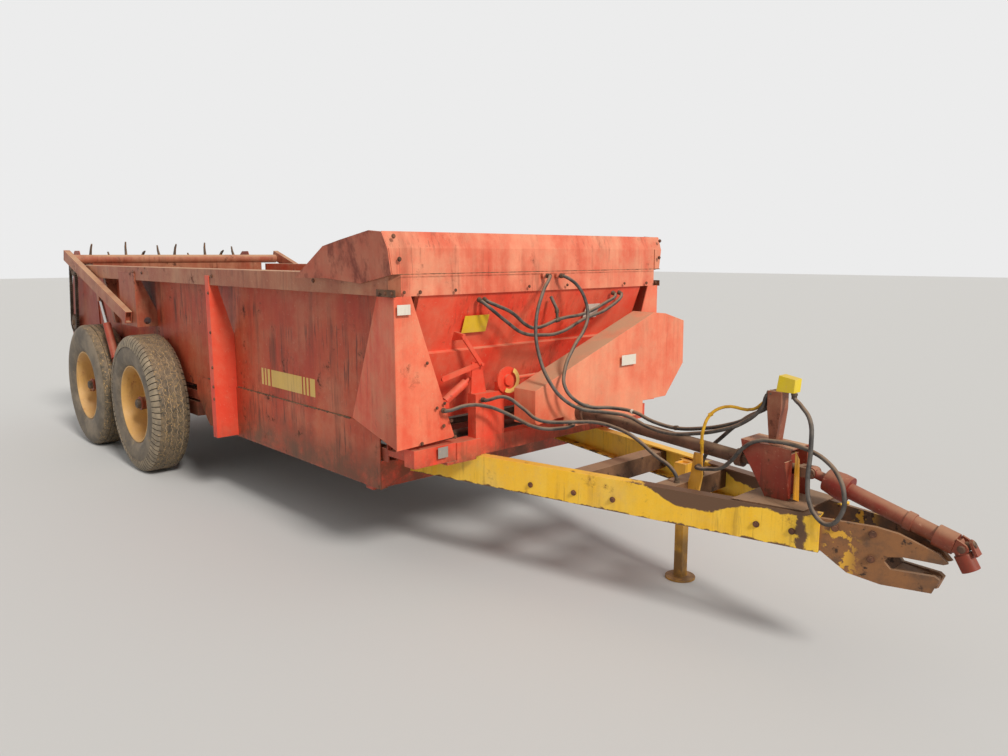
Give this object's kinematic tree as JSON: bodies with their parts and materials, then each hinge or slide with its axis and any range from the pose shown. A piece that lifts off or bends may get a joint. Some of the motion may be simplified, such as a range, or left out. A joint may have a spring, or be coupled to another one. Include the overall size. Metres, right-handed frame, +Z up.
{
  "type": "manure spreader",
  "caption": "Tandem-axle trailed box manure spreader with apron floor, lifting end gate, two tined beaters, A-shaped tongue, parking jack and power-shaft driveline.",
  "frame": {"origin": "on the ground, below the middle of the overall length and width", "axes": "+X forward to the hitch, +Y to the machine's left, +Z up"},
  "size_m": [7.8616, 2.24, 1.7491],
  "materials": {
    "red_paint": "sun-faded semi-gloss red paint with dust and rust bleeding at seams",
    "yellow_paint": "worn semi-gloss chrome-yellow paint, chipped to rusty steel",
    "rusty_red_paint": "thin dull red paint mostly worn to brown rust",
    "rusted_steel": "bare brown rusted steel",
    "worn_steel": "dark greasy steel with dried dirt",
    "bright_rod": "ground and plated rod",
    "floor_wood": "soaked and worn planks",
    "tyre_rubber": "weathered dusty rubber",
    "hose_rubber": "dull black hydraulic hose with grey scuffs",
    "rope_nylon": "frayed yellow rope",
    "driveline_red": "dusty red paint over steel tube"
  },
  "bodies": {
    "frame": {"sills": "red_paint", "cross_members": "red_paint", "floor_boards": "floor_wood", "side_walls": "red_paint", "side_rails": "rusty_red_paint", "top_rail_front": "red_paint", "front_wall": "red_paint", "hood": "red_paint", "stakes": "red_paint", "corner_posts": "red_paint", "front_beam": "red_paint", "apron": "worn_steel", "apron_shafts": "worn_steel", "feed_post": "red_paint", "feed_disc": "yellow_paint", "feed_cylinder": "red_paint", "chain_shield": "red_paint", "side_shaft": "worn_steel", "tongue_channels": "yellow_paint", "tongue_deck": "rusted_steel", "hitch_plates": "rusted_steel", "jack_socket": "yellow_paint", "latch_lever": "yellow_paint", "shaft_guard": "rusty_red_paint", "input_shaft": "worn_steel", "hose_stand": "rusty_red_paint", "hose_block": "yellow_paint", "walking_beams": "red_paint", "pivot_shaft": "worn_steel", "gate_brackets": "rusty_red_paint", "beater_plates": "red_paint", "rear_gearbox": "red_paint", "drive_chain": "worn_steel", "hoses": "hose_rubber", "pull_rope": "rope_nylon"},
    "jack": {"jack_leg": "yellow_paint"},
    "driveline": {"driveline": "driveline_red"},
    "wheel_front_right": {"tyre_front_right": "tyre_rubber", "rim_front_right": "yellow_paint"},
    "wheel_front_left": {"tyre_front_left": "tyre_rubber", "rim_front_left": "yellow_paint"},
    "wheel_rear_right": {"tyre_rear_right": "tyre_rubber", "rim_rear_right": "yellow_paint"},
    "wheel_rear_left": {"tyre_rear_left": "tyre_rubber", "rim_rear_left": "yellow_paint"},
    "gate": {"end_gate": "rusty_red_paint", "lift_arms": "rusty_red_paint"},
    "barrels": {"gate_cylinders": "red_paint"},
    "rods": {"gate_rods": "bright_rod"},
    "upper_beater": {"upper_beater": "rusted_steel"},
    "lower_beater": {"lower_beater": "rusted_steel"}
  },
  "joints": [
    {"name": "jack_slide", "type": "slide", "parent": "frame", "child": "jack", "axis": [0, 0, 1], "range_m": [0, 0.35]},
    {"name": "driveline_lift", "type": "hinge", "parent": "frame", "child": "driveline", "pos_m": [3.30918, 0, 0.747], "axis": [0, -1, 0], "range_deg": [0, 35]},
    {"name": "wheel_front_right_spin", "type": "hinge", "parent": "frame", "child": "wheel_front_right", "pos_m": [-1.41082, -0.9875, 0.515], "axis": [0, 1, 0], "continuous": true},
    {"name": "wheel_front_left_spin", "type": "hinge", "parent": "frame", "child": "wheel_front_left", "pos_m": [-1.41082, 0.9875, 0.515], "axis": [0, 1, 0], "continuous": true},
    {"name": "wheel_rear_right_spin", "type": "hinge", "parent": "frame", "child": "wheel_rear_right", "pos_m": [-2.61082, -0.9875, 0.515], "axis": [0, 1, 0], "continuous": true},
    {"name": "wheel_rear_left_spin", "type": "hinge", "parent": "frame", "child": "wheel_rear_left", "pos_m": [-2.61082, 0.9875, 0.515], "axis": [0, 1, 0], "continuous": true},
    {"name": "gate_lift", "type": "hinge", "parent": "frame", "child": "gate", "pos_m": [-1.72082, 0, 1.165], "axis": [0, 1, 0], "range_deg": [0, 28]},
    {"name": "cylinder_swing", "type": "hinge", "parent": "frame", "child": "barrels", "pos_m": [-2.03082, 0, 0.76], "axis": [0, 1, 0], "range_deg": [-0.5, 18.3]},
    {"name": "rod_slide", "type": "slide", "parent": "barrels", "child": "rods", "axis": [-0.5002, 0, 0.8659], "range_m": [-0.002, 0.215]},
    {"name": "lower_beater_spin", "type": "hinge", "parent": "frame", "child": "lower_beater", "pos_m": [-3.64582, 0, 0.98], "axis": [0, 1, 0], "continuous": true},
    {"name": "upper_beater_spin", "type": "hinge", "parent": "frame", "child": "upper_beater", "pos_m": [-3.55082, 0, 1.5], "axis": [0, 1, 0], "continuous": true}
  ],
  "couplings": [
    {"joint": "cylinder_swing", "follows": "gate_lift", "ratio": 0.61793},
    {"joint": "rod_slide", "follows": "gate_lift", "m_per_rad": 0.4338},
    {"joint": "upper_beater_spin", "follows": "lower_beater_spin", "ratio": 1}
  ]
}
